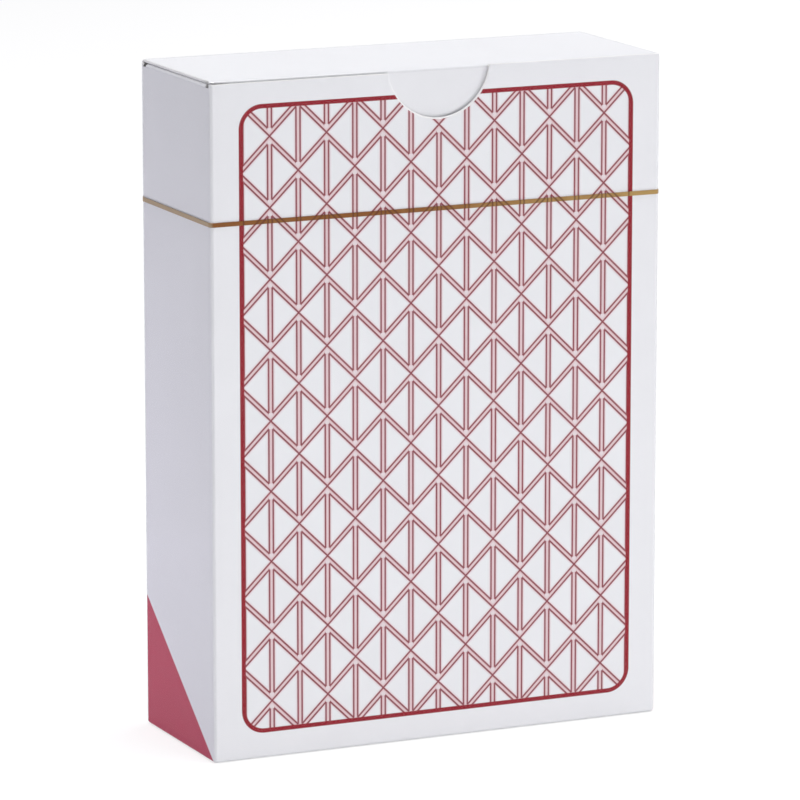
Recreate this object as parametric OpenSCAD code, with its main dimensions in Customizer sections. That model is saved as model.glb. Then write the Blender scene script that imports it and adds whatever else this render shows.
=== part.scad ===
// Deck of playing cards in a paperboard tuck carton, wrapped in clear film with a gold tear tape.
// Millimetres, +Z up, front panel towards -Y, origin at the middle of the base.

/* [Cards] */
// Width of one card
card_w = 63; // [57:0.5:70]
// Height of one card
card_h = 88; // [80:0.5:100]
// Radius of a card's corners
card_corner_r = 3.5; // [2:0.5:8]
// Thickness of one plastic-coated card
card_t = 0.36; // [0.28:0.01:0.5]
// Air between neighbouring cards
card_air = 0.025; // [0.02:0.005:0.1]

/* [Carton] */
// Thickness of the paperboard
board_t = 0.4; // [0.3:0.05:0.6]
// Layers of board glued together at the bottom
floor_layers = 2; // [1:1:4]
// Play between the cards and each side panel
side_play = 1; // [0.4:0.1:3]
// Play between the last card and the back panel
back_play = 0.8; // [0.1:0.05:2]
// Room between the cards and the dust flaps above them
head_room = 1.95; // [1:0.05:8]
// Gap that keeps the cards clear of the floor
card_lift = 0.05; // [0.02:0.01:0.3]
// Clearance left at each crease
crease_gap = 0.05; // [0.02:0.01:0.2]

/* [Thumb notch] */
// Width of the thumb notch along the front panel's top edge
notch_w = 14.8; // [8:0.2:24]
// Depth of the thumb notch
notch_depth = 6.7; // [3:0.1:7]

/* [Tuck tongue] */
// Length of the tongue below the lid
tongue_l = 10; // [8:0.5:11]
// Inward lean of the tucked tongue, in degrees
tongue_tilt = 7; // [6:0.5:12]
// Gap between each end of the tongue and the side panel
tongue_side_gap = 3; // [1.5:0.5:12]
// Radius of the tongue's lower corners
tongue_corner_r = 6; // [1:0.5:8]
// Gap between the lid's front crease and the front panel
tongue_front_gap = 0.1; // [0.08:0.01:0.5]
// Gap between the tip of the tongue and the first card
tongue_card_gap = 0.45; // [0.2:0.05:2]
// Distance from the crease to the top of the tongue
tongue_start = 0.62; // [0.55:0.01:1]

/* [Dust flaps] */
// Length of each dust flap
flap_l = 16; // [8:0.5:20]
// Relief cut at both ends of a flap's crease
flap_relief = 1.2; // [0.8:0.1:3]
// Slant of a flap's rear edge, in degrees
flap_rear_slant = 28; // [27:1:34]
// Slant of a flap's front edge, in degrees
flap_front_slant = 12; // [10:1:16]

/* [Overwrap] */
// Thickness of the clear film
film_t = 0.05; // [0.03:0.01:0.1]
// Air between the film and the carton
film_gap = 0.05; // [0.03:0.01:0.2]
// Height of the tear tape
tape_h = 0.6; // [0.5:0.1:4]
// Drop from the lid to the middle of the tear tape
tape_drop = 18.9; // [12:0.1:40]
// Height of the tear tape above the film's face
tape_proud = 0.03; // [0:0.01:0.1]

/* [Hidden] */
$fn = 64;
// Overrun of a cut past the face that it opens
cut = 1;

suits = ["spades", "hearts", "clubs", "diamonds"];
ranks = [
    "ace", "two", "three", "four", "five", "six", "seven",
    "eight", "nine", "ten", "jack", "queen", "king"
];
card_names = [for (suit = suits) for (rank = ranks) str("card_", rank, "_of_", suit)];
card_count = len(card_names);

// The pack of cards
card_pitch = card_t + card_air;
pack_depth = card_count * card_pitch - card_air;

// A crease is half as thick as the board, and round
crease_r = board_t / 2;

// Reach of the leaning tongue behind the front panel
tongue_axis_in = tongue_front_gap + crease_r;
tongue_reach = tongue_axis_in + tongue_l * sin(tongue_tilt) + crease_r * cos(tongue_tilt);

// Carton, inside and outside
inner_w = card_w + 2 * side_play;
inner_d = tongue_reach + tongue_card_gap + pack_depth + back_play;
outer_w = inner_w + 2 * board_t;
outer_d = inner_d + 2 * board_t;
front_in = -inner_d / 2;
back_in = inner_d / 2;

// Heights above the surface that the deck stands on
carton_z = film_t;
floor_top = carton_z + floor_layers * board_t;
card_z = floor_top + card_lift;
flap_bottom = card_z + card_h + head_room;
lid_bottom = flap_bottom + board_t + crease_gap;
carton_top = lid_bottom + board_t;
side_top = flap_bottom - crease_gap;
back_top = lid_bottom - crease_gap;

// Crease axes
lid_axis_y = outer_d / 2 - crease_r;
lid_axis_z = lid_bottom + crease_r;
tongue_axis_y = front_in + tongue_axis_in;
tongue_w = inner_w - 2 * tongue_side_gap;
flap_axis_x = outer_w / 2 - crease_r;
flap_axis_z = flap_bottom + crease_r;

// Circle of the thumb notch, from its chord and depth
notch_r = (pow(notch_w / 2, 2) + pow(notch_depth, 2)) / (2 * notch_depth);
notch_z = carton_top - notch_depth + notch_r;

// First card's front face
first_card_y = front_in + tongue_reach + tongue_card_gap;

// Overwrap
film_w = outer_w + 2 * film_gap;
film_d = outer_d + 2 * film_gap;
film_top = carton_top + film_gap;
tape_bottom = carton_top - tape_drop - tape_h / 2;
tape_top = tape_bottom + tape_h;

// Axes, for the joints
echo(size = [film_w + 2 * film_t, film_d + 2 * film_t, film_top + film_t]);
echo(lid_axis = [lid_axis_y, lid_axis_z], tongue_axis = [tongue_axis_y, lid_axis_z]);
echo(flap_axis = [flap_axis_x, flap_axis_z], card_face = first_card_y, tape = tape_bottom);

// Upright box, centred on the origin in plan
module centred_box(w, d, bottom, top) {
    translate([-w / 2, -d / 2, bottom]) cube([w, d, top - bottom]);
}

// Flat rectangle with four round corners, centred
module rounded_rectangle(w, h, r) {
    square([w - 2 * r, h], center = true);
    square([w, h - 2 * r], center = true);
    for (x = [-1, 1], y = [-1, 1]) {
        translate([x * (w / 2 - r), y * (h / 2 - r)]) circle(r);
    }
}

// Section of a creased panel: flat board from the origin, round at its crease
module creased_section(length) {
    translate([0, -crease_r]) square([length, board_t]);
    circle(crease_r);
}

// Four walls of film, as a tube around the carton
module film_walls(bottom, top, thickness) {
    difference() {
        centred_box(film_w + 2 * thickness, film_d + 2 * thickness, bottom, top);
        centred_box(film_w, film_d, bottom - cut, top + cut);
    }
}

// Front, back, side and bottom panels, folded and glued from one blank
module carton_shell() {
    color("whitesmoke") difference() {
        centred_box(outer_w, outer_d, carton_z, carton_top);
        centred_box(inner_w, inner_d, floor_top, carton_top + cut);
        // The side panels end under the dust flaps
        centred_box(outer_w + 2 * cut, inner_d, side_top, carton_top + cut);
        // The back panel ends under the lid
        translate([0, outer_d - board_t, 0]) centred_box(outer_w + 2 * cut, outer_d, back_top, carton_top + cut);
        // Thumb notch in the front panel
        translate([0, front_in + crease_r, notch_z]) rotate([90, 0, 0])
            cylinder(r = notch_r, h = board_t + cut);
    }
}

// Lid, creased along the back panel and along the tongue
module lid_panel() {
    color("white") translate([0, lid_axis_y, lid_axis_z]) rotate([90, 0, 90]) mirror([1, 0])
        linear_extrude(outer_w, center = true) {
            creased_section(lid_axis_y - tongue_axis_y);
            translate([lid_axis_y - tongue_axis_y, 0]) circle(crease_r);
        }
}

// Tongue that tucks in behind the front panel
module tuck_tongue() {
    color("white") translate([0, tongue_axis_y, lid_axis_z]) rotate([90 + tongue_tilt, 0, 0])
        linear_extrude(board_t, center = true) intersection() {
            rounded_rectangle(tongue_w, 2 * tongue_l, tongue_corner_r);
            translate([-tongue_w / 2, -tongue_l]) square([tongue_w, tongue_l - tongue_start]);
        }
}

// Flap creased along the left side panel, tapered clear of the lid and the tongue
module dust_flap() {
    rear = back_in - flap_relief;
    front = front_in + flap_relief;
    color("white") translate([-flap_axis_x, 0, flap_axis_z]) intersection() {
        rotate([90, 0, 0]) linear_extrude(inner_d, center = true) creased_section(flap_l);
        linear_extrude(2 * board_t, center = true) polygon([
            [-board_t, rear],
            [0, rear],
            [flap_l, rear - flap_l * tan(flap_rear_slant)],
            [flap_l, front + flap_l * tan(flap_front_slant)],
            [0, front],
            [-board_t, front]
        ]);
    }
}

module dust_flap_left() {
    dust_flap();
}

module dust_flap_right() {
    mirror([1, 0, 0]) dust_flap();
}

// Film from the base up to the tear tape
module film_sleeve() {
    color([0.9, 0.93, 0.97, 0.25]) {
        centred_box(film_w + 2 * film_t, film_d + 2 * film_t, 0, film_t);
        film_walls(0, tape_bottom, film_t);
    }
}

// Film from the tear tape over the lid
module film_cap() {
    color([0.9, 0.93, 0.97, 0.25]) {
        film_walls(tape_top, film_top + film_t, film_t);
        centred_box(film_w + 2 * film_t, film_d + 2 * film_t, film_top, film_top + film_t);
    }
}

// Gold tape that tears the film open
module tear_tape() {
    color("goldenrod") film_walls(tape_bottom, tape_top, film_t + tape_proud);
}

// One card of the pack, counted from the front
module card(index) {
    back_face = first_card_y + index * card_pitch + card_t;
    color("ivory") translate([0, back_face, card_z + card_h / 2]) rotate([90, 0, 0])
        linear_extrude(card_t) rounded_rectangle(card_w, card_h, card_corner_r);
}

carton_shell();
lid_panel();
tuck_tongue();
dust_flap_left();
dust_flap_right();
film_sleeve();
film_cap();
tear_tape();
for (index = [0 : card_count - 1]) {
    card(index);
}
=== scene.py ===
"""Looks of the boxed card deck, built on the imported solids. Metres, +Z up, printed front towards -Y."""
import math

import bpy
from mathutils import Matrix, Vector


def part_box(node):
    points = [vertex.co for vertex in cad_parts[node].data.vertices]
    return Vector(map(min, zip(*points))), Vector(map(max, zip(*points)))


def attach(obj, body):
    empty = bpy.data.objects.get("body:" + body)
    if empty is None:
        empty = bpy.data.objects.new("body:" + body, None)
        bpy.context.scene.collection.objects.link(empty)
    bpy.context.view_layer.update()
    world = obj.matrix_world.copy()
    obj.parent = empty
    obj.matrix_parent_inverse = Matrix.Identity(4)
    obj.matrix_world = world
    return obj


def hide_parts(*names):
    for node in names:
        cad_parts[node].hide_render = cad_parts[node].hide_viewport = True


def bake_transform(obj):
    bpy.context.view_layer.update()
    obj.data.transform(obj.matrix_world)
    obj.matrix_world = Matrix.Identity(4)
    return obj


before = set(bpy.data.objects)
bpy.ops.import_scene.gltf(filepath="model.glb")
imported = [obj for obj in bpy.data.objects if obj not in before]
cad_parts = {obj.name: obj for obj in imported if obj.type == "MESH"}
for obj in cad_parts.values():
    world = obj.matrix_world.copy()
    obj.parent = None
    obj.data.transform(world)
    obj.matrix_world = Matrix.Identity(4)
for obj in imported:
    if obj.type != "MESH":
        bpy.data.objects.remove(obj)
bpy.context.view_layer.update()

# Sizes are in millimetres and become metres when a mesh is made
MM = 0.001

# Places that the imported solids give
SHELL = [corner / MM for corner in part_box("carton_shell")]
LID = [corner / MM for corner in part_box("lid_panel")]
TONGUE = [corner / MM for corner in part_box("tuck_tongue")]
FLAP = [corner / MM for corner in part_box("dust_flap_left")]
SLEEVE = [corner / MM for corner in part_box("film_sleeve")]
CAP = [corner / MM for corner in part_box("film_cap")]
TAPE = [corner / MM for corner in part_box("tear_tape")]
CARD = [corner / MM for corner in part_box("card_ace_of_spades")]
NEXT_CARD = [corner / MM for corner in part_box("card_two_of_spades")]
CARD_PITCH = NEXT_CARD[0].y - CARD[0].y

HALF_W = SHELL[1].x
HALF_D = SHELL[1].y
BASE_Z = SHELL[0].z
TOP_Z = LID[1].z
BOARD = LID[1].z - LID[0].z
FLAP_TOP = FLAP[1].z
# Clearance that the solids leave at a crease
CREASE_GAP = 0.05
SIDE_TOP = FLAP[0].z - CREASE_GAP
BACK_TOP = LID[0].z - CREASE_GAP

# Folds of the carton: the upright ones, those round the base, and those that move
CORNER_R = 0.5
BASE_R = 0.45
FOLD_R = 0.45
# Facets round a fold of the shell, and round one that moves
FOLD_STEPS = 6
CREASE_STEPS = 8
# Rounding of a cut edge
CUT_EDGE_R = 0.06
# Rounding of the front panel's upper edge in the notch, and the share of it along the straight top
FRONT_EDGE_R = 0.18
STRAIGHT_EDGE_SHARE = 0.3
# Drop of that straight top below the lid, left and right of the notch
FRONT_DROP_LEFT = 0.4
FRONT_DROP_RIGHT = 0.03
# The lid is cut a little narrower than the carton, with rounded side edges
LID_HALF = HALF_W - 0.2
LID_EDGE_R = 0.17
# An edge this close to a face counts as lying on it
NEAR = 0.01

# Bottom flaps: the inner one fills the shell, and the outer one ends short of the sides and of the back
INNER_FLAP_CORNER = 0.3
OUTER_FLAP_CORNER = 0.9
OUTER_FLAP_SIDE_GAP = 1.3
OUTER_FLAP_BACK_GAP = 1.9
# Depth at the front fold along which the outer flap's edge stays sharp
OUTER_FLAP_HEEL = 1.0
GLUE_GAP = 0.02

# Thumb notch in the front panel
NOTCH_HALF = 7.4
NOTCH_DEPTH = 6.7
NOTCH_R = (NOTCH_HALF ** 2 + NOTCH_DEPTH ** 2) / (2 * NOTCH_DEPTH)
NOTCH_Z = TOP_Z - NOTCH_DEPTH + NOTCH_R
# Height from which the front panel's rows bend into the notch
NOTCH_FOOT = 84.0
NOTCH_STEPS = 48

# Tuck tongue and dust flaps
TONGUE_HALF = TONGUE[1].x
TONGUE_L = 10.0
# Lean of the tongue below its fold, and how much its tip curls in beyond that, in degrees
TONGUE_LEAN = 0.5
TONGUE_CURL = 20.0
TONGUE_CORNER = 6.0
# Middle of the rounding between the lid and the tongue
TONGUE_FOLD_Y = LID[0].y + FOLD_R
# Shares of the narrowing from lid to tongue in the last rows of that fold, which are its crease and carry the
# crease's painted shade
TONGUE_SHOULDERS = [0.3, 0.65, 1.0]
FLAP_L = FLAP[1].x + HALF_W - BOARD / 2
FLAP_CORNER = 1.6
FLAP_RELIEF = 1.2
FLAP_REAR_SLANT = 28.0
FLAP_FRONT_SLANT = 12.0

# Printed frame and trellis on the front and the back panel
PRINT_MID_Z = 45.97
PRINT_HALF_W = 28.575
PRINT_HALF_H = 42.135
PRINT_CORNER = 3.0
PRINT_LINE = 0.6
# Columns of triangles, and the height after which a column repeats
TRELLIS_COLUMNS = 14
TRELLIS_STEP = 2 * PRINT_HALF_W / TRELLIS_COLUMNS
TRELLIS_PERIOD = 9.527
# Gap between two bases side by side, and half the gap between two that stand end to end
TRELLIS_GAP = 0.59
TRELLIS_TIP = 1.08
TRELLIS_LINE = 0.23
# Width of the pink bloom beside a thin line, its strength, and that of the tint between two lines
BLOOM_W = 0.3
BLOOM_TONE = 0.28
GAP_TONE = 0.24
LINE_SOFT = 0.05
# Depth behind a panel's face, and behind the front card's, that its print covers
PRINT_DEPTH = 0.3
CARD_PRINT_DEPTH = 0.05

# Red corner on the side panels, and the softness of its slanted edge as a share of its height
CORNER_PATCH_H = 18.5
PATCH_SOFT = 0.003
# Depth behind a side panel's face that counts as the side
SIDE_DEPTH = 0.4

# Film: rounding of its upright edges and of those round its ends, and thickness
FILM_R = 0.62
FILM_BEND_R = 0.57
FILM_SHEET = 0.012
# Lowest row of the plain wall
FILM_WALL_Z = 5.0
# Step from one layer of film to the next where it overlaps, and the width of the slope between them
FILM_STEP = 0.018
FILM_SLOPE = 0.12
# Reach of the front flap past the middle of a folded end
FILM_LAP = 4.5
# Long seam on the back
FILM_SEAM_X = 14.0
FILM_SEAM_W = 6.0
# Share of light that one face of the film mirrors, seen head on
FILM_MIRROR = 0.008
# The same along the face, added as the view grows flat, and how late it is added
FILM_GLANCE = 0.12
GLANCE_POWER = 5.0
# Ripples of the film
RIPPLE_SCALE = 0.05
RIPPLE_SHARE = 0.15
RIPPLE_H = 0.4
# Width and strength of the haze where film is doubled along a fold
FOLD_W = 0.5
FOLD_HAZE = 0.26
# Width and strength of the painted grey that the same folds show from inside, standing in for the darker look
# that refraction gives film along a fold
INNER_FOLD_W = 1.5
INNER_FOLD_PAINTED_GREY = 0.55

# Tear tape: height over the film, thickness, where the painted reflection that pales its front starts, depth
# of its streaks
TAPE_PROUD = TAPE[1].x - CAP[1].x
TAPE_SHEET = 0.04
TAPE_REFLECTION_X = -12.0
TAPE_STREAK = 0.25
# Share of the print that shows through it
TAPE_PRINT_SHARE = 0.7

# Paper: darkest and lightest tone, change of roughness either way, height of the fibres
PAPER_DARK = 0.955
PAPER_LIGHT = 1.03
ROUGH_CHANGE = 0.05
FIBRE_H = 0.012
# Clouds, flecks, roughness and relief of coated board
COATED = {"cloud": 0.5, "fleck": 0.18, "rough": 0.55, "relief": 0.10}
# Shine of each kind of paper
COATED_SHINE = 0.12
RAW_SHINE = 0.2
CARD_SHINE = 0.5

# Painted shade on the pack's edges where the cards meet, as shares of one card's pitch: a card's middle, and
# where the shade starts and ends
CARD_MIDDLE = 0.47
CARD_GAP_SHADE_FROM = 0.25
CARD_GAP_SHADE_TO = 0.5
# Tone of the painted shade between cards, how much of it shows there, and how much cards differ
CARD_GAP_PAINTED_SHADE = 0.72
CARD_GAP_SHADE_SHARE = 0.55
CARD_TONE_CHANGE = 0.2

# Finishes, and painted light and shade, as linear colours
BOARD_WHITE = (0.865, 0.870, 0.888, 1.0)
RAW_BOARD = (0.74, 0.72, 0.68, 1.0)
CUT_BOARD = (0.90, 0.895, 0.885, 1.0)
# Painted shade on the lid's front crease, standing in for the shadow in the groove behind the front panel's
# top edge; darker painted shade where that groove gapes left of the notch, with the width of the change
CREASE_PAINTED_SHADE = 0.9
OPEN_CREASE_PAINTED_SHADE = 0.66
CREASE_CHANGE_W = 1.0
CARD_WHITE = (0.87, 0.865, 0.85, 1.0)
FRAME_RED = (0.30, 0.018, 0.028, 1.0)
TRELLIS_RED = (0.28, 0.065, 0.08, 1.0)
INK_BLOOM = (0.66, 0.26, 0.28, 1.0)
PATCH_RED = (0.53, 0.045, 0.105, 1.0)
FILM_CLEAR = (0.97, 0.98, 1.0, 1.0)
# Painted grey for the film's folds seen from inside, standing in for refraction
FILM_FOLD_PAINTED_GREY = (0.34, 0.36, 0.40, 1.0)
TAPE_BROWN = (0.28, 0.10, 0.018, 1.0)
# Pale gold of the painted reflection on the tape's right
TAPE_REFLECTED_GOLD = (0.50, 0.32, 0.11, 1.0)
# Greyer gold painted on the tape round the sides, for the different light that falls there
TAPE_SIDE_PAINTED_LIGHT = (0.41, 0.285, 0.165, 1.0)
TAPE_OVER_INK = (0.11, 0.03, 0.015, 1.0)

# Floor: half its side, its height, its grey as light sees it and as the eye sees it, and its glow to the eye
FLOOR_HALF = 3000.0
FLOOR_Z = -0.02
FLOOR_GREY = 0.8
FLOOR_SHOWN_GREY = 0.35
FLOOR_GLOW = 0.74
# Light of the surroundings
WORLD_TINT = (0.93, 0.92, 1.0, 1.0)
WORLD_LIGHT = 0.33
SIDE_FILL_TINT = (0.80, 0.74, 1.0)

# Camera, fitted to the corners of the carton
CAMERA_LENS = 252.57
CAMERA_SENSOR = 36.0
CAMERA_NEAR = 50.0
CAMERA_YAW = 24.63
CAMERA_PITCH = 11.535
CAMERA_AWAY = 763.14
CAMERA_AIM = (-0.245, 0.0, 44.557)


# Mesh helpers

def arc(middle, radius, first, last, steps):
    """Points of an arc in a plane, as pairs, from one angle to another in degrees."""
    turns = [math.radians(first + (last - first) * step / steps) for step in range(steps + 1)]
    return [(middle[0] + radius * math.cos(turn), middle[1] + radius * math.sin(turn)) for turn in turns]


def spread(first, last, steps):
    """Evenly spaced values, both ends among them."""
    return [first + (last - first) * step / steps for step in range(steps + 1)]


def mesh_piece(name, points, faces, materials):
    """Object from points in millimetres."""
    mesh = bpy.data.meshes.new(name)
    mesh.from_pydata([Vector(point) * MM for point in points], [], faces)
    for material in materials:
        mesh.materials.append(material)
    mesh.polygons.foreach_set("use_smooth", [True] * len(mesh.polygons))
    mesh.update()
    piece = bpy.data.objects.new(name, mesh)
    bpy.context.scene.collection.objects.link(piece)
    return piece


def grid_faces(rows, columns, closed=False, first=0):
    """Quads of a grid of points that is stored row by row."""
    faces = []
    for row in range(rows - 1):
        for column in range(columns if closed else columns - 1):
            here = first + row * columns + column
            beside = first + row * columns + (column + 1) % columns
            faces.append((here, beside, beside + columns, here + columns))
    return faces


def mark_cut_edges(piece, softness):
    """Marks a sheet's free edges for softening. The function turns an edge's middle into a share."""
    mesh = piece.data
    uses = {}
    for face in mesh.polygons:
        for key in face.edge_keys:
            uses[key] = uses.get(key, 0) + 1
    marks = mesh.attributes.new("bevel_weight_edge", "FLOAT", "EDGE")
    for edge in mesh.edges:
        ends = [mesh.vertices[index].co for index in edge.vertices]
        middle = (ends[0] + ends[1]) / (2 * MM)
        if uses[edge.key] == 1:
            marks.data[edge.index].value = float(softness(middle))


def thicken(piece, thickness, softness=None, bevel=CUT_EDGE_R):
    """Thickens a sheet towards the inside, with softened cut edges and true normals on its flats."""
    if softness:
        mark_cut_edges(piece, softness)
    solid = piece.modifiers.new("thickness", "SOLIDIFY")
    solid.thickness = thickness * MM
    solid.offset = -1.0
    solid.use_quality_normals = True
    if len(piece.data.materials) > 1:
        solid.material_offset = 1
        solid.material_offset_rim = 2
    if softness:
        soft = piece.modifiers.new("soft_edge", "BEVEL")
        soft.width = bevel * MM
        soft.segments = 3
        soft.limit_method = "WEIGHT"
        soft.material = 2
    level = piece.modifiers.new("flat_normals", "WEIGHTED_NORMAL")
    level.mode = "FACE_AREA"
    level.weight = 100
    return piece


# Shader helpers

def feed(tree, socket, value):
    """Links another node's output to a socket, or sets a plain value on it."""
    if isinstance(value, bpy.types.NodeSocket):
        tree.links.new(value, socket)
    else:
        socket.default_value = value


def sum_node(tree, operation, *values, clamp=False):
    """One maths step on numbers or outputs."""
    node = tree.nodes.new("ShaderNodeMath")
    node.operation = operation
    node.use_clamp = clamp
    for socket, value in zip(node.inputs, values):
        feed(tree, socket, value)
    return node.outputs[0]


def ramp_node(tree, value, low, high, to_low=0.0, to_high=1.0, smooth=True):
    """Value carried from one range to another, held at both ends."""
    node = tree.nodes.new("ShaderNodeMapRange")
    node.interpolation_type = "SMOOTHSTEP" if smooth else "LINEAR"
    node.clamp = True
    names = ("Value", "From Min", "From Max", "To Min", "To Max")
    for name, given in zip(names, (value, low, high, to_low, to_high)):
        feed(tree, node.inputs[name], given)
    return node.outputs[0]


def noise_node(tree, place, scale, detail, roughness=0.5):
    """Noise over a place in millimetres."""
    node = tree.nodes.new("ShaderNodeTexNoise")
    feed(tree, node.inputs["Vector"], place)
    node.inputs["Scale"].default_value = scale
    node.inputs["Detail"].default_value = detail
    node.inputs["Roughness"].default_value = roughness
    return node.outputs["Fac"]


def mix_colour(tree, share, first, second):
    """Colour between two others."""
    node = tree.nodes.new("ShaderNodeMix")
    node.data_type = "RGBA"
    feed(tree, node.inputs["Factor"], share)
    feed(tree, node.inputs["A"], first)
    feed(tree, node.inputs["B"], second)
    return node.outputs["Result"]


def new_group(name, inputs, outputs):
    """Empty shader group with named number or vector sockets."""
    group = bpy.data.node_groups.new(name, "ShaderNodeTree")
    for title, kind in inputs:
        group.interface.new_socket(title, in_out="INPUT", socket_type=kind)
    for title, kind in outputs:
        group.interface.new_socket(title, in_out="OUTPUT", socket_type=kind)
    return group, group.nodes.new("NodeGroupInput").outputs, group.nodes.new("NodeGroupOutput").inputs


def place_group(tree, group, **values):
    """Group placed in a material; spaces in a socket's name are written as underscores."""
    node = tree.nodes.new("ShaderNodeGroup")
    node.node_tree = group
    for title, value in values.items():
        feed(tree, node.inputs[title.replace("_", " ")], value)
    return node.outputs


NUMBER = "NodeSocketFloat"
VECTOR = "NodeSocketVector"


def make_place_group():
    """Place on the object in millimetres, whole and as three numbers."""
    group, _, out = new_group(
        "place_in_mm",
        [],
        [("Place", VECTOR), ("Across", NUMBER), ("Deep", NUMBER), ("Up", NUMBER)],
    )
    here = group.nodes.new("ShaderNodeTexCoord").outputs["Object"]
    scale = group.nodes.new("ShaderNodeVectorMath")
    scale.operation = "SCALE"
    feed(group, scale.inputs[0], here)
    scale.inputs["Scale"].default_value = 1 / MM
    split = group.nodes.new("ShaderNodeSeparateXYZ")
    feed(group, split.inputs[0], scale.outputs[0])
    feed(group, out["Place"], scale.outputs[0])
    for title, part in zip(("Across", "Deep", "Up"), split.outputs):
        feed(group, out[title], part)
    return group


def make_fibre_group():
    """Uneven tone and fine height of paper fibres."""
    group, given, out = new_group(
        "paper_fibre",
        [("Place", VECTOR), ("Cloud", NUMBER), ("Fleck", NUMBER)],
        [("Tone", NUMBER), ("Height", NUMBER)],
    )
    cloud = noise_node(group, given["Place"], scale=0.09, detail=3.0)
    fleck = noise_node(group, given["Place"], scale=2.4, detail=4.0, roughness=0.65)
    cloud_part = sum_node(group, "MULTIPLY", sum_node(group, "SUBTRACT", cloud, 0.5), given["Cloud"])
    fleck_part = sum_node(group, "MULTIPLY", sum_node(group, "SUBTRACT", fleck, 0.5), given["Fleck"])
    feed(group, out["Tone"], sum_node(group, "ADD", sum_node(group, "ADD", cloud_part, fleck_part), 0.5))
    feed(group, out["Height"], sum_node(group, "ADD", fleck, sum_node(group, "MULTIPLY", cloud, 2.0)))
    return group


def line_edge(tree, away, width):
    """Distance from the edge of a line of that width, from the distance to its middle."""
    half = sum_node(tree, "MULTIPLY", width, 0.5)
    return sum_node(tree, "SUBTRACT", sum_node(tree, "ABSOLUTE", away), half)


def make_frame_group():
    """Line along a rectangle with round corners, and the area inside it."""
    group, given, out = new_group(
        "round_frame",
        [("Across", NUMBER), ("Up", NUMBER), ("Half Width", NUMBER), ("Half Height", NUMBER),
         ("Corner", NUMBER), ("Line", NUMBER)],
        [("Ink", NUMBER), ("Inside", NUMBER)],
    )
    sides = []
    for place, half in (("Across", "Half Width"), ("Up", "Half Height")):
        straight = sum_node(group, "SUBTRACT", given[half], given["Corner"])
        sides.append(sum_node(group, "SUBTRACT", sum_node(group, "ABSOLUTE", given[place]), straight))
    beyond = [sum_node(group, "MAXIMUM", side, 0.0) for side in sides]
    squares = [sum_node(group, "MULTIPLY", side, side) for side in beyond]
    round_part = sum_node(group, "SQRT", sum_node(group, "ADD", squares[0], squares[1]))
    flat_part = sum_node(group, "MINIMUM", sum_node(group, "MAXIMUM", sides[0], sides[1]), 0.0)
    away = sum_node(group, "SUBTRACT", sum_node(group, "ADD", round_part, flat_part), given["Corner"])
    edge = line_edge(group, away, given["Line"])
    feed(group, out["Ink"], ramp_node(group, edge, LINE_SOFT, -LINE_SOFT))
    feed(group, out["Inside"], ramp_node(group, away, LINE_SOFT, -LINE_SOFT))
    return group


def make_trellis_group():
    """Rows of triangles that stand base to base in columns, with their tips crossing, as a line print."""
    group, given, out = new_group(
        "trellis_print",
        [("Across", NUMBER), ("Up", NUMBER), ("Line", NUMBER)],
        [("Ink", NUMBER), ("Bloom", NUMBER), ("Gap", NUMBER)],
    )
    half = TRELLIS_PERIOD / 2
    reach = half - TRELLIS_TIP
    inset = TRELLIS_GAP / (2 * TRELLIS_STEP)
    slope = math.hypot(1 - inset, reach / TRELLIS_STEP)
    along = sum_node(group, "DIVIDE", sum_node(group, "ADD", given["Across"], PRINT_HALF_W), TRELLIS_STEP)
    column = sum_node(group, "FLOOR", along)
    share = sum_node(group, "FRACT", along)
    odd = sum_node(group, "MULTIPLY", sum_node(group, "FLOORED_MODULO", column, 2.0), half)
    rise = sum_node(group, "PINGPONG", sum_node(group, "ADD", given["Up"], odd), half)
    fall = sum_node(group, "SUBTRACT", half, rise)
    rest = sum_node(group, "SUBTRACT", 1.0, share)
    inks = []
    blooms = []
    outsides = []
    for height, near, far in ((rise, share, rest), (fall, rest, share)):
        run = sum_node(group, "MULTIPLY", far, reach)
        slant = sum_node(group, "SUBTRACT", sum_node(group, "MULTIPLY", height, 1 - inset), run)
        slant = sum_node(group, "DIVIDE", slant, slope)
        slant_edge = line_edge(group, slant, given["Line"])
        base = sum_node(group, "MULTIPLY", sum_node(group, "SUBTRACT", near, inset), TRELLIS_STEP)
        base_edge = line_edge(group, base, given["Line"])
        outsides.append(sum_node(group, "MAXIMUM", slant, sum_node(group, "MULTIPLY", base, -1.0)))
        past_base = sum_node(group, "GREATER_THAN", near, inset)
        below_tip = sum_node(group, "LESS_THAN", height, reach)
        for edge, part in ((slant_edge, past_base), (base_edge, below_tip)):
            inks.append(sum_node(group, "MULTIPLY", ramp_node(group, edge, LINE_SOFT, -LINE_SOFT), part))
            blooms.append(sum_node(group, "MULTIPLY", ramp_node(group, edge, BLOOM_W, 0.0), part))
    for title, lines in (("Ink", inks), ("Bloom", blooms)):
        first = sum_node(group, "MAXIMUM", lines[0], lines[1])
        second = sum_node(group, "MAXIMUM", lines[2], lines[3])
        feed(group, out[title], sum_node(group, "MAXIMUM", first, second))
    between = sum_node(group, "MINIMUM", outsides[0], outsides[1])
    feed(group, out["Gap"], ramp_node(group, between, -LINE_SOFT, LINE_SOFT))
    return group


PLACE_IN_MM = make_place_group()
PAPER_FIBRE = make_fibre_group()
ROUND_FRAME = make_frame_group()
TRELLIS_PRINT = make_trellis_group()


# Materials

def new_material(name):
    """Material with only a Principled shader, its tree and the shader's inputs."""
    material = bpy.data.materials.new(name)
    material.use_nodes = True
    tree = material.node_tree
    tree.nodes.clear()
    shader = tree.nodes.new("ShaderNodeBsdfPrincipled")
    output = tree.nodes.new("ShaderNodeOutputMaterial")
    tree.links.new(shader.outputs[0], output.inputs["Surface"])
    return material, tree, shader.inputs


def shade(colour, share):
    """A colour made darker, its alpha kept."""
    return tuple(part * share for part in colour[:3]) + (1.0,)


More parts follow.
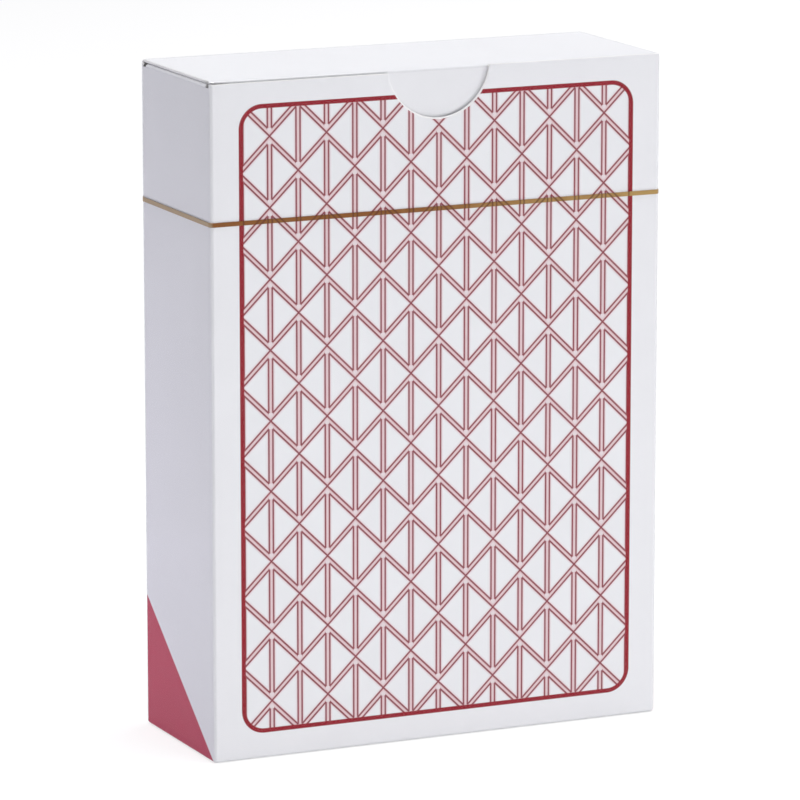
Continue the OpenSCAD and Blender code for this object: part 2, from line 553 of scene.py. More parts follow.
def bump(tree, height, strength, distance):
    """Normal from a height in the millimetre scale of the fibres."""
    node = tree.nodes.new("ShaderNodeBump")
    node.inputs["Strength"].default_value = strength
    node.inputs["Distance"].default_value = distance * MM
    feed(tree, node.inputs["Height"], height)
    return node.outputs["Normal"]


def paper_finish(tree, shader, colour, cloud, fleck, rough, relief):
    """Paper tone, roughness and relief on a shader. Gives back the colour and the place."""
    place = place_group(tree, PLACE_IN_MM)
    fibre = place_group(tree, PAPER_FIBRE, Place=place["Place"], Cloud=cloud, Fleck=fleck)
    paper = mix_colour(tree, fibre["Tone"], shade(colour, PAPER_DARK), shade(colour, PAPER_LIGHT))
    dullest = rough + ROUGH_CHANGE
    glossiest = rough - ROUGH_CHANGE
    roughness = ramp_node(tree, fibre["Tone"], 0.2, 0.8, dullest, glossiest, smooth=False)
    feed(tree, shader["Roughness"], roughness)
    feed(tree, shader["Normal"], bump(tree, fibre["Height"], relief, FIBRE_H))
    return paper, place


def print_trellis(tree, place, paper, where):
    """Colour of a panel with the frame and the trellis printed where a mask is 1."""
    up = sum_node(tree, "SUBTRACT", place["Up"], PRINT_MID_Z)
    border = place_group(
        tree, ROUND_FRAME, Across=place["Across"], Up=up, Half_Width=PRINT_HALF_W, Half_Height=PRINT_HALF_H,
        Corner=PRINT_CORNER, Line=PRINT_LINE,
    )
    trellis = place_group(tree, TRELLIS_PRINT, Across=place["Across"], Up=up, Line=TRELLIS_LINE)
    inside = sum_node(tree, "MULTIPLY", border["Inside"], where)
    bloom = sum_node(tree, "MULTIPLY", trellis["Bloom"], BLOOM_TONE)
    tint = sum_node(tree, "MULTIPLY", sum_node(tree, "MULTIPLY_ADD", trellis["Gap"], GAP_TONE, bloom), inside)
    tinted = mix_colour(tree, tint, paper, INK_BLOOM)
    lined = mix_colour(tree, sum_node(tree, "MULTIPLY", trellis["Ink"], inside), tinted, TRELLIS_RED)
    return mix_colour(tree, sum_node(tree, "MULTIPLY", border["Ink"], where), lined, FRAME_RED)


def make_front_board():
    """Coated board with the printed frame and trellis, for the front panel."""
    material, tree, shader = new_material("front_print_board")
    paper, place = paper_finish(tree, shader, BOARD_WHITE, **COATED)
    on_face = sum_node(tree, "GREATER_THAN", sum_node(tree, "ABSOLUTE", place["Deep"]), HALF_D - PRINT_DEPTH)
    feed(tree, shader["Base Color"], print_trellis(tree, place, paper, on_face))
    shader["Specular IOR Level"].default_value = COATED_SHINE
    return material


def make_body_board():
    """Coated board of the side and back panels: trellis on the back, a red corner on both sides."""
    material, tree, shader = new_material("body_print_board")
    paper, place = paper_finish(tree, shader, BOARD_WHITE, **COATED)
    on_back = sum_node(tree, "GREATER_THAN", place["Deep"], HALF_D - PRINT_DEPTH)
    on_side = sum_node(tree, "GREATER_THAN", sum_node(tree, "ABSOLUTE", place["Across"]), HALF_W - SIDE_DEPTH)
    run = sum_node(tree, "DIVIDE", sum_node(tree, "SUBTRACT", HALF_D, place["Deep"]), 2 * HALF_D)
    rise = sum_node(tree, "DIVIDE", place["Up"], CORNER_PATCH_H)
    slant = sum_node(tree, "SUBTRACT", sum_node(tree, "ADD", run, rise), 1.0)
    patch = sum_node(tree, "MULTIPLY", ramp_node(tree, slant, PATCH_SOFT, -PATCH_SOFT), on_side)
    printed = print_trellis(tree, place, paper, on_back)
    feed(tree, shader["Base Color"], mix_colour(tree, patch, printed, PATCH_RED))
    shader["Specular IOR Level"].default_value = COATED_SHINE
    return material


def make_plain_board():
    """Coated white board with no print."""
    material, tree, shader = new_material("plain_coated_board")
    paper, _ = paper_finish(tree, shader, BOARD_WHITE, **COATED)
    feed(tree, shader["Base Color"], paper)
    shader["Specular IOR Level"].default_value = COATED_SHINE
    return material


def make_crease_shade_board():
    """Rougher board along the lid's front crease, with painted shade for the shadow in its groove, darkest
    left of the notch where the groove gapes.
    """
    material, tree, shader = new_material("crease_shade_board")
    # The crease's tone is painted shade, standing in for the shadow in the groove behind the front panel's
    # top edge
    painted_crease = shade(BOARD_WHITE, CREASE_PAINTED_SHADE)
    paper, place = paper_finish(tree, shader, painted_crease, cloud=0.5, fleck=0.8, rough=0.7, relief=0.35)
    # Darker painted shade left of the notch, where that groove gapes and lies deeper in shadow
    change = CREASE_CHANGE_W / 2
    gap_shade_share = ramp_node(tree, place["Across"], change - NOTCH_HALF, -change - NOTCH_HALF)
    painted_gap_shade = shade(BOARD_WHITE, OPEN_CREASE_PAINTED_SHADE)
    feed(tree, shader["Base Color"], mix_colour(tree, gap_shade_share, paper, painted_gap_shade))
    shader["Specular IOR Level"].default_value = COATED_SHINE
    return material


def make_raw_board():
    """Uncoated inner face of the board."""
    material, tree, shader = new_material("raw_inner_board")
    paper, _ = paper_finish(tree, shader, RAW_BOARD, cloud=0.6, fleck=0.9, rough=0.85, relief=0.35)
    feed(tree, shader["Base Color"], paper)
    shader["Specular IOR Level"].default_value = RAW_SHINE
    return material


def make_cut_board():
    """Cut edge of the board, with its fibres open."""
    material, tree, shader = new_material("cut_board_edge")
    paper, _ = paper_finish(tree, shader, CUT_BOARD, cloud=0.4, fleck=0.8, rough=0.88, relief=0.4)
    feed(tree, shader["Base Color"], paper)
    shader["Specular IOR Level"].default_value = RAW_SHINE
    return material


def card_tone_and_gap_shade(tree, place):
    """Share of darkening on the pack's edges: each card has its own tone, and painted shade darkens it
    towards its faces, where it meets the next card.
    """
    count = sum_node(tree, "DIVIDE", sum_node(tree, "SUBTRACT", place["Deep"], CARD[0].y), CARD_PITCH)
    tone = tree.nodes.new("ShaderNodeTexWhiteNoise")
    tone.noise_dimensions = "1D"
    feed(tree, tone.inputs["W"], sum_node(tree, "FLOOR", count))
    # Painted shade that darkens each card towards its faces, where the gaps between cards lie
    within = sum_node(tree, "SUBTRACT", sum_node(tree, "FRACT", count), CARD_MIDDLE)
    off_middle = sum_node(tree, "ABSOLUTE", within)
    rim = ramp_node(tree, off_middle, CARD_GAP_SHADE_FROM, CARD_GAP_SHADE_TO, 0.0, CARD_GAP_SHADE_SHARE)
    return sum_node(tree, "MULTIPLY_ADD", tone.outputs["Value"], CARD_TONE_CHANGE, rim, clamp=True)


def make_card_stock(name, printed):
    """Plastic-coated card stock, with the printed back on request."""
    material, tree, shader = new_material(name)
    paper, place = paper_finish(tree, shader, CARD_WHITE, cloud=0.35, fleck=0.35, rough=0.36, relief=0.15)
    if printed:
        on_back = sum_node(tree, "LESS_THAN", place["Deep"], CARD[0].y + CARD_PRINT_DEPTH)
        colour = print_trellis(tree, place, paper, on_back)
    else:
        # Card edges: each card's own tone, and painted shade between cards
        colour = mix_colour(tree, card_tone_and_gap_shade(tree, place), paper, shade(CARD_WHITE, CARD_GAP_PAINTED_SHADE))
    feed(tree, shader["Base Color"], colour)
    shader["Specular IOR Level"].default_value = CARD_SHINE
    return material


def film_folds(tree, place, width):
    """1 along the edges of the wrapped box, falling to 0 over a width."""
    limits = (
        ("Across", SLEEVE[0].x, SLEEVE[1].x),
        ("Deep", SLEEVE[0].y, SLEEVE[1].y),
        ("Up", SLEEVE[0].z, CAP[1].z),
    )
    rims = []
    for title, low, high in limits:
        first = ramp_node(tree, place[title], low + width, low)
        last = ramp_node(tree, place[title], high - width, high)
        rims.append(sum_node(tree, "MAXIMUM", first, last))
    pairs = [sum_node(tree, "MULTIPLY", rims[one], rims[other]) for one, other in ((0, 1), (0, 2), (1, 2))]
    return sum_node(tree, "MAXIMUM", sum_node(tree, "MAXIMUM", pairs[0], pairs[1]), pairs[2])


def make_clear_film(name, fold_width, fold_share, fold_tint, inside):
    """Clear film, seen by what it mirrors and by its folds, which show inside once it is lifted off as a
    painted grey for the darker look that refraction gives them.
    """
    material, tree, shader = new_material(name)
    place = place_group(tree, PLACE_IN_MM)
    shader["Metallic"].default_value = 1.0
    shader["Roughness"].default_value = 0.06
    facing = tree.nodes.new("ShaderNodeLayerWeight").outputs["Facing"]
    glance = sum_node(tree, "POWER", facing, GLANCE_POWER)
    mirror = sum_node(tree, "MULTIPLY_ADD", glance, FILM_GLANCE, FILM_MIRROR)
    edge = film_folds(tree, place, fold_width)
    feed(tree, shader["Base Color"], mix_colour(tree, edge, FILM_CLEAR, fold_tint))
    fold = sum_node(tree, "MULTIPLY", edge, fold_share)
    # From inside, the fold grey is painted for the camera's view only, standing in for refraction along the
    # folds
    if inside:
        seen = tree.nodes.new("ShaderNodeLightPath").outputs["Is Camera Ray"]
        behind = tree.nodes.new("ShaderNodeNewGeometry").outputs["Backfacing"]
        front = sum_node(tree, "SUBTRACT", 1.0, behind)
        fold = sum_node(tree, "MULTIPLY", fold, sum_node(tree, "MULTIPLY", seen, front))
    feed(tree, shader["Alpha"], sum_node(tree, "ADD", fold, mirror))
    ripple = noise_node(tree, place["Place"], scale=RIPPLE_SCALE, detail=1.0)
    feed(tree, shader["Normal"], bump(tree, ripple, RIPPLE_SHARE, RIPPLE_H))
    return material


def make_gold_tape():
    """Translucent gold tear tape with fine streaks along it, a painted reflection that pales it to the right,
    and painted light that greys it round the sides.
    """
    material, tree, shader = new_material("gold_tape")
    place = place_group(tree, PLACE_IN_MM)
    noise = noise_node(tree, place["Place"], scale=0.16, detail=4.0, roughness=0.65)
    streak = ramp_node(tree, noise, 0.25, 0.75, -TAPE_STREAK, TAPE_STREAK)
    # Painted reflection: the tape's front pales towards the right, standing in for the brighter surroundings
    # it mirrors there
    front = ramp_node(tree, place["Across"], TAPE_REFLECTION_X, HALF_W)
    painted_sheen_and_streaks = sum_node(tree, "ADD", front, streak, clamp=True)
    # Painted light: the tape turns greyer round the sides, where it catches light differently
    side_painted_light = ramp_node(tree, sum_node(tree, "ABSOLUTE", place["Across"]), HALF_W - SIDE_DEPTH, HALF_W)
    gold = mix_colour(tree, side_painted_light, mix_colour(tree, painted_sheen_and_streaks, TAPE_BROWN, TAPE_REFLECTED_GOLD), TAPE_SIDE_PAINTED_LIGHT)
    # The print shows through the tape
    up = sum_node(tree, "SUBTRACT", place["Up"], PRINT_MID_Z)
    trellis = place_group(tree, TRELLIS_PRINT, Across=place["Across"], Up=up, Line=TRELLIS_LINE)
    on_print = sum_node(tree, "LESS_THAN", sum_node(tree, "ABSOLUTE", place["Across"]), PRINT_HALF_W)
    ink = sum_node(tree, "MULTIPLY", trellis["Ink"], on_print)
    through = sum_node(tree, "MULTIPLY", ink, TAPE_PRINT_SHARE)
    feed(tree, shader["Base Color"], mix_colour(tree, through, gold, TAPE_OVER_INK))
    shader["Metallic"].default_value = 0.3
    shader["Roughness"].default_value = 0.35
    shader["Alpha"].default_value = 0.86
    return material


FRONT_BOARD = make_front_board()
BODY_BOARD = make_body_board()
PLAIN_BOARD = make_plain_board()
# Board with the crease's painted shade
CREASE_SHADE_BOARD = make_crease_shade_board()
RAW_INSIDE = make_raw_board()
CUT_EDGE = make_cut_board()
CARD_STOCK = make_card_stock("card_stock", False)
CARD_BACK = make_card_stock("card_back_stock", True)
CLEAR_FILM = make_clear_film("clear_film", FOLD_W, FOLD_HAZE, FILM_CLEAR, False)
FILM_INSIDE = make_clear_film("clear_film_inside", INNER_FOLD_W, INNER_FOLD_PAINTED_GREY, FILM_FOLD_PAINTED_GREY, True)
GOLD_TAPE = make_gold_tape()


# Carton

# A column of a wall is its place in plan, then the direction that its outer face looks in

def round_corner(side_x, side_y, first):
    """Columns round one upright fold of the carton, counter-clockwise."""
    middle = (side_x * (HALF_W - CORNER_R), side_y * (HALF_D - CORNER_R))
    columns = []
    for turn in spread(first, first + 90, FOLD_STEPS):
        out_x = math.cos(math.radians(turn))
        out_y = math.sin(math.radians(turn))
        columns.append((middle[0] + CORNER_R * out_x, middle[1] + CORNER_R * out_y, out_x, out_y))
    return columns


def notch_places():
    """Places along the front panel, close together where the notch is cut."""
    limit = math.asin(NOTCH_HALF / NOTCH_R)
    cut = [NOTCH_R * math.sin(limit * share) for share in spread(-1, 1, NOTCH_STEPS)]
    left = spread(-(HALF_W - CORNER_R), -NOTCH_HALF, steps=5)[1:-1]
    return left + cut + [-x for x in reversed(left)]


def front_top(x):
    """Height of the front panel's upper edge, with the notch."""
    edge = TOP_Z - (FRONT_DROP_LEFT if x < 0 else FRONT_DROP_RIGHT)
    if abs(x) >= NOTCH_HALF:
        return edge
    return min(edge, NOTCH_Z - math.sqrt(max(NOTCH_R ** 2 - x ** 2, 0.0)))


def front_softness(middle):
    """Share of the full rounding on the front panel's edges: whole in the notch, less beside it."""
    if middle.z < NOTCH_FOOT or abs(middle.x) > HALF_W - 2 * NEAR:
        return 0.0
    return 1.0 if abs(middle.x) < NOTCH_HALF else STRAIGHT_EDGE_SHARE


def base_fold_rows():
    """Inset and height of a wall where it turns under the carton."""
    turns = [math.radians(turn) for turn in spread(90, 0, FOLD_STEPS)]
    return [(BASE_R - BASE_R * math.cos(turn), BASE_Z + BASE_R - BASE_R * math.sin(turn)) for turn in turns]


def make_carton_front():
    """Front panel with both front folds, the notch and the start of the bottom fold."""
    columns = round_corner(-1, -1, 180)
    columns += [(x, -HALF_D, 0.0, -1.0) for x in notch_places()]
    columns += round_corner(1, -1, 270)
    points = []
    rows = base_fold_rows()
    for inset, z in rows:
        points += [(x - out_x * inset, y - out_y * inset, z) for x, y, out_x, out_y in columns]
    # Plain rows, then rows that bend more and more into the notch
    plain = [25.0, 50.0, 72.0, NOTCH_FOOT]
    for z in plain:
        points += [(x, y, z) for x, y, _, _ in columns]
    shares = [0.4, 0.75, 1.0]
    for share in shares:
        for x, y, _, _ in columns:
            points.append((x, y, NOTCH_FOOT + (front_top(x) - NOTCH_FOOT) * share))
    count = len(rows) + len(plain) + len(shares)
    faces = grid_faces(count, len(columns))
    piece = mesh_piece("carton_front", points, faces, [FRONT_BOARD, RAW_INSIDE, CUT_EDGE])
    return thicken(piece, BOARD, front_softness, FRONT_EDGE_R)


def make_carton_body():
    """Side and back panels with both back folds, ending under the flaps and the lid."""
    side_places = spread(-(HALF_D - CORNER_R), HALF_D - CORNER_R, steps=3)
    back_places = spread(HALF_W - CORNER_R, -(HALF_W - CORNER_R), steps=6)
    columns = [(HALF_W, y, 1.0, 0.0) for y in side_places[:-1]]
    back_first = len(columns)
    columns += round_corner(1, 1, 0)
    columns += [(x, HALF_D, 0.0, 1.0) for x in back_places[1:-1]]
    columns += round_corner(-1, 1, 90)
    back_last = len(columns) - 1
    columns += [(-HALF_W, -y, -1.0, 0.0) for y in side_places[1:]]
    points = []
    rows = base_fold_rows()
    for inset, z in rows:
        points += [(x - out_x * inset, y - out_y * inset, z) for x, y, out_x, out_y in columns]
    heights = [20.0, 45.0, 70.0, SIDE_TOP]
    for z in heights:
        points += [(x, y, z) for x, y, _, _ in columns]
    faces = grid_faces(len(rows) + len(heights), len(columns))
    # Only the back panel reaches the lid's fold
    below = (len(rows) + len(heights) - 1) * len(columns)
    first = len(points) - back_first
    points += [(x, y, BACK_TOP) for x, y, _, _ in columns[back_first:back_last + 1]]
    for column in range(back_first, back_last):
        faces.append((below + column, below + column + 1, first + column + 1, first + column))
    piece = mesh_piece("carton_body", points, faces, [BODY_BOARD, RAW_INSIDE, CUT_EDGE])
    return thicken(piece, BOARD)


def round_plate(half_w, low_y, high_y, z, corner, steps=5):
    """Outline of a flat plate that looks down, as points."""
    right = half_w - corner
    front = low_y + corner
    back = high_y - corner
    outline = []
    middles = ((right, front), (right, back), (-right, back), (-right, front))
    for middle, first in zip(middles, (-90, 0, 90, 180)):
        outline += [(x, y, z) for x, y in arc(middle, corner, first, first + 90, steps)]
    return outline


def outer_flap_softness(middle):
    """Full rounding on the outer bottom flap's edges, apart from its front fold."""
    return middle.z < BASE_Z + BOARD / 2 and middle.y > OUTER_FLAP_HEEL - HALF_D


def make_carton_base():
    """Inner bottom flap, and the outer one that is glued over it and ends short of the back fold."""
    depth = HALF_D - BOARD
    inner = round_plate(HALF_W - BOARD, -depth, depth, BASE_Z + BOARD, INNER_FLAP_CORNER)
    heel = BASE_R - HALF_D
    tip = HALF_D - OUTER_FLAP_BACK_GAP
    outer = round_plate(HALF_W - OUTER_FLAP_SIDE_GAP, heel, tip, BASE_Z, OUTER_FLAP_CORNER)
    points = inner + outer
    count = len(inner)
    # Both plates look down, so their outlines run clockwise
    faces = [tuple(reversed(range(count))), tuple(reversed(range(count, 2 * count)))]
    piece = mesh_piece("carton_base", points, faces, [PLAIN_BOARD, RAW_INSIDE, CUT_EDGE])
    return thicken(piece, BOARD - GLUE_GAP, outer_flap_softness)


# Folding parts of the carton

def lid_softness(middle):
    """Full rounding along both sides of the lid's flat."""
    return abs(middle.x) > LID_HALF - NEAR and middle.z > TOP_Z - NEAR


def make_lid():
    """Lid with its fold to the back panel, up to the tongue's fold."""
    path = arc((HALF_D - FOLD_R, TOP_Z - FOLD_R), FOLD_R, 0, 90, CREASE_STEPS)
    path += [(y, TOP_Z) for y in spread(HALF_D - FOLD_R, TONGUE_FOLD_Y, steps=8)[1:]]
    places = spread(LID_HALF, -LID_HALF, steps=12)
    points = [(x, y, z) for y, z in path for x in places]
    piece = mesh_piece("lid", points, grid_faces(len(path), len(places)), [PLAIN_BOARD, RAW_INSIDE, CUT_EDGE])
    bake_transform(piece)
    return thicken(piece, BOARD, lid_softness, LID_EDGE_R)


def tongue_half(run):
    """Half width of the tongue at a distance below its fold, with round lower corners."""
    past = run - (TONGUE_L - TONGUE_CORNER)
    if past <= 0:
        return TONGUE_HALF
    return TONGUE_HALF - TONGUE_CORNER + math.sqrt(max(TONGUE_CORNER ** 2 - past ** 2, 0.0))


def make_tongue():
    """Tongue with its fold to the lid, tucked in close behind the front panel and curling in at its tip."""
    middle = (TONGUE_FOLD_Y, TOP_Z - FOLD_R)
    fold = arc(middle, FOLD_R, 90, 180 + TONGUE_LEAN, CREASE_STEPS)
    # The fold is as wide as the lid and narrows to the tongue in its last rows
    shoulders = [0.0] * (len(fold) - len(TONGUE_SHOULDERS)) + TONGUE_SHOULDERS
    path = [(y, z, LID_HALF + (TONGUE_HALF - LID_HALF) * share) for (y, z), share in zip(fold, shoulders)]
    y, z = fold[-1]
    length = TONGUE_L - (TOP_Z - BOARD / 2 - z)
    straight = TONGUE_L - TONGUE_CORNER
    runs = spread(0, straight, steps=5)[1:]
    runs += [straight + TONGUE_CORNER * math.sin(turn) for turn in spread(0, math.pi / 2, steps=14)[1:]]
    before = 0.0
    for run in runs:
        lean = math.radians(TONGUE_LEAN + TONGUE_CURL * (run / TONGUE_L) ** 3)
        step = (run - before) * length / TONGUE_L
        y += step * math.sin(lean)
        z -= step * math.cos(lean)
        before = run
        path.append((y, z, tongue_half(run)))
    shares = spread(1, -1, steps=16)
    points = [(share * half, y, z) for y, z, half in path for share in shares]
    materials = [PLAIN_BOARD, RAW_INSIDE, CUT_EDGE, CREASE_SHADE_BOARD]
    piece = mesh_piece("tongue", points, grid_faces(len(path), len(shares)), materials)
    # The lower part of the fold is the crease, which gets the painted shade
    row = len(shares) - 1
    first = CREASE_STEPS - len(TONGUE_SHOULDERS)
    for face in piece.data.polygons[first * row:CREASE_STEPS * row]:
        face.material_index = materials.index(CREASE_SHADE_BOARD)
    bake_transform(piece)
    return thicken(piece, BOARD, lambda edge: edge.z < TOP_Z - NEAR)


def make_dust_flap(name, side):
    """Dust flap with its fold to a side panel; side is -1 on the left and 1 on the right."""
    fold = arc((HALF_W - FOLD_R, FLAP_TOP - FOLD_R), FOLD_R, 0, 90, CREASE_STEPS)
    crease = HALF_W - BOARD / 2
    rear = HALF_D - BOARD - FLAP_RELIEF
    corner = crease - FLAP_L + FLAP_CORNER
    runs = spread(HALF_W - FOLD_R, corner, steps=4)[1:]
    runs += [corner - FLAP_CORNER * math.sin(turn) for turn in spread(0, math.pi / 2, steps=8)[1:]]
    points = []
    shares = spread(-side, side, steps=8)
    path = fold + [(x, FLAP_TOP) for x in runs]
    for x, z in path:
        run = max(crease - x, 0.0)
        past = max(corner - x, 0.0)
        trim = FLAP_CORNER - math.sqrt(max(FLAP_CORNER ** 2 - past ** 2, 0.0))
        low = -rear + run * math.tan(math.radians(FLAP_FRONT_SLANT)) + trim
        high = rear - run * math.tan(math.radians(FLAP_REAR_SLANT)) - trim
        for share in shares:
            points.append((side * x, (low + high) / 2 + share * (high - low) / 2, z))
    piece = mesh_piece(name, points, grid_faces(len(path), len(shares)), [PLAIN_BOARD, RAW_INSIDE, CUT_EDGE])
    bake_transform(piece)
    return thicken(piece, BOARD, lambda edge: edge.z > SIDE_TOP + NEAR)


# Film and tear tape

def film_ring(box, inset, radius, seam=0.0, steps=6):
    """Outline of the film in plan, counter-clockwise, less an inset, with a raised seam on the back."""
    half_w = box[1].x - inset
    half_d = box[1].y - inset
    corner = radius - inset
    edge = FILM_SEAM_W / 2
    seam_steps = ((edge + FILM_SLOPE, 0.0), (edge, seam), (-edge, seam), (-edge - FILM_SLOPE, 0.0))
    ring = []
    for side_x, side_y, first in ((1, -1, -90), (1, 1, 0), (-1, 1, 90), (-1, -1, 180)):
        middle = (side_x * (half_w - corner), side_y * (half_d - corner))
        ring += arc(middle, corner, first, first + 90, steps)
        if seam and (side_x, side_y) == (1, 1):
            ring += [(FILM_SEAM_X + away, half_d + rise) for away, rise in seam_steps]
    return ring


def ring_stretch(ring, first, last):
    """Indices along a closed ring from one corner to the next, both ends among them."""
    ends = []
    for side_x, side_y in (first, last):
        reach = [side_x * x + side_y * y for x, y in ring]
        ends.append(reach.index(max(reach)))
    if ends[1] < ends[0]:
        ends[1] += len(ring)
    return [index % len(ring) for index in range(ends[0], ends[1] + 1)]


def folded_end(points, box, ring, first, z, outward):
    """Faces of a folded film end: two tucks, the back flap over them and the front flap outermost."""
    middle_x = box[1].x - box[1].y
    # Points at the tip of each tuck and at the corners of each flap's edge, by side and layer
    tip = {}
    lap = {}
    for side in (1, -1):
        for layer, slope in ((0, FILM_SLOPE), (1, 0.0), (2, -FILM_SLOPE)):
            tip[side, layer] = len(points)
            points.append((side * (middle_x + slope), 0.0, z + outward * layer * FILM_STEP))
        for layer, slope in ((1, FILM_SLOPE), (2, 0.0)):
            lap[side, layer] = len(points)
            points.append((side * (middle_x - FILM_LAP), FILM_LAP + slope, z + outward * layer * FILM_STEP))
    corners = ((-1, -1), (1, -1), (1, 1), (-1, 1))
    sides = []
    for start, end in zip(corners, corners[1:] + corners[:1]):
        sides.append([first + index for index in ring_stretch(ring, start, end)])
    front, right, back, left = sides
    faces = [
        front + [tip[1, 2], lap[1, 2], lap[-1, 2], tip[-1, 2]],
        right + [tip[1, 0]],
        back + [tip[-1, 1], lap[-1, 1], lap[1, 1], tip[1, 1]],
        left + [tip[-1, 0]],
        [front[-1], tip[1, 0], tip[1, 1], tip[1, 2]],
        [back[0], tip[1, 1], tip[1, 0]],
        [tip[1, 1], lap[1, 1], lap[1, 2], tip[1, 2]],
        [lap[1, 1], lap[-1, 1], lap[-1, 2], lap[1, 2]],
        [lap[-1, 1], tip[-1, 1], tip[-1, 2], lap[-1, 2]],
        [front[0], tip[-1, 2], tip[-1, 1], tip[-1, 0]],
        [back[-1], tip[-1, 0], tip[-1, 1]],
    ]
    return [tuple(face if outward > 0 else reversed(face)) for face in faces]


def film_bend():
    """Inset and height of the film's rounding between its walls and an end, from the wall on."""
    turns = [math.radians(turn) for turn in spread(0, 90, steps=5)]
    return [(FILM_BEND_R * (1 - math.cos(turn)), FILM_BEND_R * (math.sin(turn) - 1)) for turn in turns]


def film_shell(name, box, levels, outward):
    """Film wall through levels of inset and height, upwards, with the folded end at its top or its bottom."""
    rings = [film_ring(box, inset, FILM_R, FILM_STEP) for inset, _ in levels]
    points = [(x, y, z) for ring, (_, z) in zip(rings, levels) for x, y in ring]
    count = len(rings[0])
    faces = grid_faces(len(levels), count, closed=True)
    end = len(levels) - 1 if outward > 0 else 0
    faces += folded_end(points, box, rings[end], end * count, levels[end][1], outward)
    return thicken(mesh_piece(name, points, faces, [CLEAR_FILM, FILM_INSIDE, CLEAR_FILM]), FILM_SHEET)


def make_film_sleeve():
    """Film from the base to the tear tape, with its long seam and the folded end below."""
    foot = SLEEVE[0].z + 2 * FILM_STEP
    levels = [(inset, foot - rise) for inset, rise in reversed(film_bend())]
    levels += [(0.0, z) for z in spread(FILM_WALL_Z, SLEEVE[1].z, steps=6)]
    return film_shell("lower_film", SLEEVE, levels, -1)


def make_film_cap():
    """Film from the tear tape over the lid, with its long seam and the folded end above."""
    top = CAP[1].z - 2 * FILM_STEP
    levels = [(0.0, z) for z in spread(CAP[0].z, top - FILM_R, steps=3)]
    levels += [(inset, top + rise) for inset, rise in film_bend()]
    return film_shell("upper_film", CAP, levels, 1)


def make_tear_tape():
    """Gold tape round the film."""
    ring = film_ring(TAPE, 0.0, FILM_R + TAPE_PROUD)
    points = [(x, y, z) for z in (TAPE[0].z, TAPE[1].z) for x, y in ring]
    piece = mesh_piece("gold_tear_tape", points, grid_faces(2, len(ring), closed=True), [GOLD_TAPE])
    return thicken(piece, TAPE_SHEET)


# Assembly

def settle(piece, body, slot, *nodes):
    """Puts a piece on its body and in place of its solids. The slot is not used."""
    if body:
        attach(piece, body)
    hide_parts(*nodes)


def dress_cards():
    """Card stock on the cards, with the printed back on the first one."""
    for name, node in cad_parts.items():
        if name.startswith("card_"):
            material = CARD_BACK if name == "card_ace_of_spades" else CARD_STOCK
            for slot in node.material_slots:
                slot.material = material


def build_deck():
    """Every piece of the deck."""
    settle(make_carton_front(), "carton", "board", "carton_shell")
    settle(make_carton_body(), "carton", "board", "carton_shell")
    settle(make_carton_base(), "carton", "board", "carton_shell")
    settle(make_lid(), None, "board", "lid_panel")
    settle(make_tongue(), None, "board", "tuck_tongue")
    settle(make_dust_flap("left_dust_flap", -1), None, "board", "dust_flap_left")
    settle(make_dust_flap("right_dust_flap", 1), None, "board", "dust_flap_right")
    settle(make_film_sleeve(), "carton", "film", "film_sleeve")
    settle(make_film_cap(), "upper_film", "film", "film_cap")
    settle(make_tear_tape(), "upper_film", "tape", "tear_tape")
    dress_cards()


# Stage

def seen_share(tree):
    """1 for rays that show the stage itself: from the camera, a mirror or through film."""
    path = tree.nodes.new("ShaderNodeLightPath").outputs
    mirrored = sum_node(tree, "MAXIMUM", path["Is Glossy Ray"], path["Is Transmission Ray"])
    return sum_node(tree, "MAXIMUM", path["Is Camera Ray"], mirrored)


def lit_or_shown(tree, output, lit, shown):
    """Surface with one shader for the light that falls on the object and another for the eye."""
    choose = tree.nodes.new("ShaderNodeMixShader")
    feed(tree, choose.inputs[0], seen_share(tree))
    tree.links.new(lit.outputs[0], choose.inputs[1])
    tree.links.new(shown.outputs[0], choose.inputs[2])
    tree.links.new(choose.outputs[0], tree.nodes.new(output).inputs["Surface"])


def grey_matt(tree, level):
    """Matt grey shader."""
    node = tree.nodes.new("ShaderNodeBsdfDiffuse")
    node.inputs["Color"].default_value = (level, level, level, 1.0)
    return node


def make_floor():
    """Pale floor that reads as white and keeps a soft shadow."""
    material = bpy.data.materials.new("pale_floor")
    material.use_nodes = True
    tree = material.node_tree
    tree.nodes.clear()
    glow = tree.nodes.new("ShaderNodeEmission")
    glow.inputs["Strength"].default_value = FLOOR_GLOW
    shown = tree.nodes.new("ShaderNodeAddShader")
    tree.links.new(grey_matt(tree, FLOOR_SHOWN_GREY).outputs[0], shown.inputs[0])
    tree.links.new(glow.outputs[0], shown.inputs[1])
    lit_or_shown(tree, "ShaderNodeOutputMaterial", grey_matt(tree, FLOOR_GREY), shown)
    corners = [(x * FLOOR_HALF, y * FLOOR_HALF, FLOOR_Z) for x, y in ((-1, -1), (1, -1), (1, 1), (-1, 1))]
    floor = mesh_piece("pale_floor", corners, [(0, 1, 2, 3)], [material])


def make_world():
    """White surroundings, with their light kept at a plain level."""
    world = bpy.data.worlds.new("white_studio")
    bpy.context.scene.world = world
    world.use_nodes = True
    tree = world.node_tree
    tree.nodes.clear()
    shown = tree.nodes.new("ShaderNodeBackground")
    shown.inputs["Strength"].default_value = 1.0
    lit = tree.nodes.new("ShaderNodeBackground")
    lit.inputs["Color"].default_value = WORLD_TINT
    lit.inputs["Strength"].default_value = WORLD_LIGHT
    lit_or_shown(tree, "ShaderNodeOutputWorld", lit, shown)


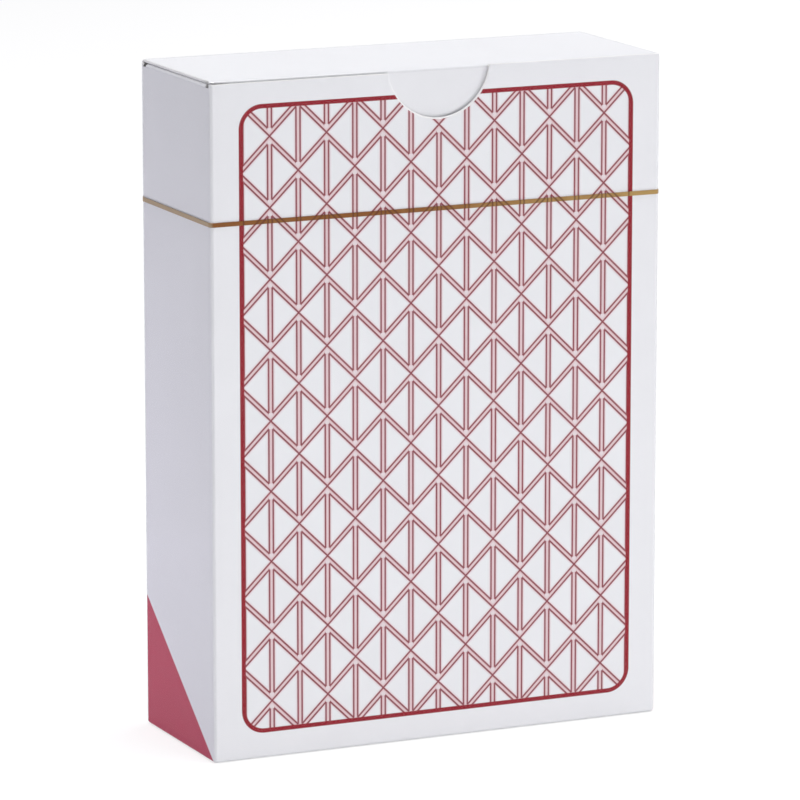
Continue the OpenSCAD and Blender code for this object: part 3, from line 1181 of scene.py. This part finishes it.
def add_lamp(name, place, aim, power, size, tint=(1.0, 1.0, 1.0), mirrored=True):
    """Soft rectangular lamp, in millimetres and watts, that glossy faces mirror or not."""
    data = bpy.data.lights.new(name, "AREA")
    data.energy = power
    data.color = tint
    data.shape = "RECTANGLE"
    data.size = size[0] * MM
    data.size_y = size[1] * MM
    lamp = bpy.data.objects.new(name, data)
    lamp.visible_camera = False
    lamp.visible_glossy = mirrored
    lamp.location = Vector(place) * MM
    lamp.rotation_euler = (Vector(aim) - Vector(place)).to_track_quat("-Z", "Y").to_euler()
    bpy.context.scene.collection.objects.link(lamp)


def add_camera():
    """Camera at the photograph's viewing angle."""
    yaw = math.radians(CAMERA_YAW)
    pitch = math.radians(CAMERA_PITCH)
    forward = Vector((math.sin(yaw) * math.cos(pitch), math.cos(yaw) * math.cos(pitch), -math.sin(pitch)))
    data = bpy.data.cameras.new("camera")
    data.lens = CAMERA_LENS
    data.sensor_width = CAMERA_SENSOR
    data.clip_start = CAMERA_NEAR * MM
    camera = bpy.data.objects.new("camera", data)
    camera.location = (Vector(CAMERA_AIM) - forward * CAMERA_AWAY) * MM
    camera.rotation_euler = forward.to_track_quat("-Z", "Y").to_euler()
    bpy.context.scene.collection.objects.link(camera)
    bpy.context.scene.camera = camera


def build_stage():
    """Floor, light and camera."""
    make_floor()
    make_world()
    add_lamp("key_lamp", place=(900, -700, 200), aim=(0, 0, 40), power=4.12, size=(400, 200), mirrored=False)
    add_lamp("front_fill", place=(-10, -250, 12), aim=(0, 0, 12), power=0.105, size=(220, 24), mirrored=False)
    add_lamp("top_lamp", place=(0, -40, 1000), aim=(0, 0, 90), power=6.3, size=(500, 500))
    add_lamp(
        "side_fill", place=(-115, 80, 14), aim=(-33, 0, 10), power=0.035, size=(170, 26),
        tint=SIDE_FILL_TINT, mirrored=False,
    )
    add_lamp("back_fill", place=(650, 500, 300), aim=(0, 0, 45), power=1.0, size=(400, 300))
    add_camera()
    bpy.context.scene.view_settings.view_transform = "Standard"


build_deck()
build_stage()
bpy.context.view_layer.update()
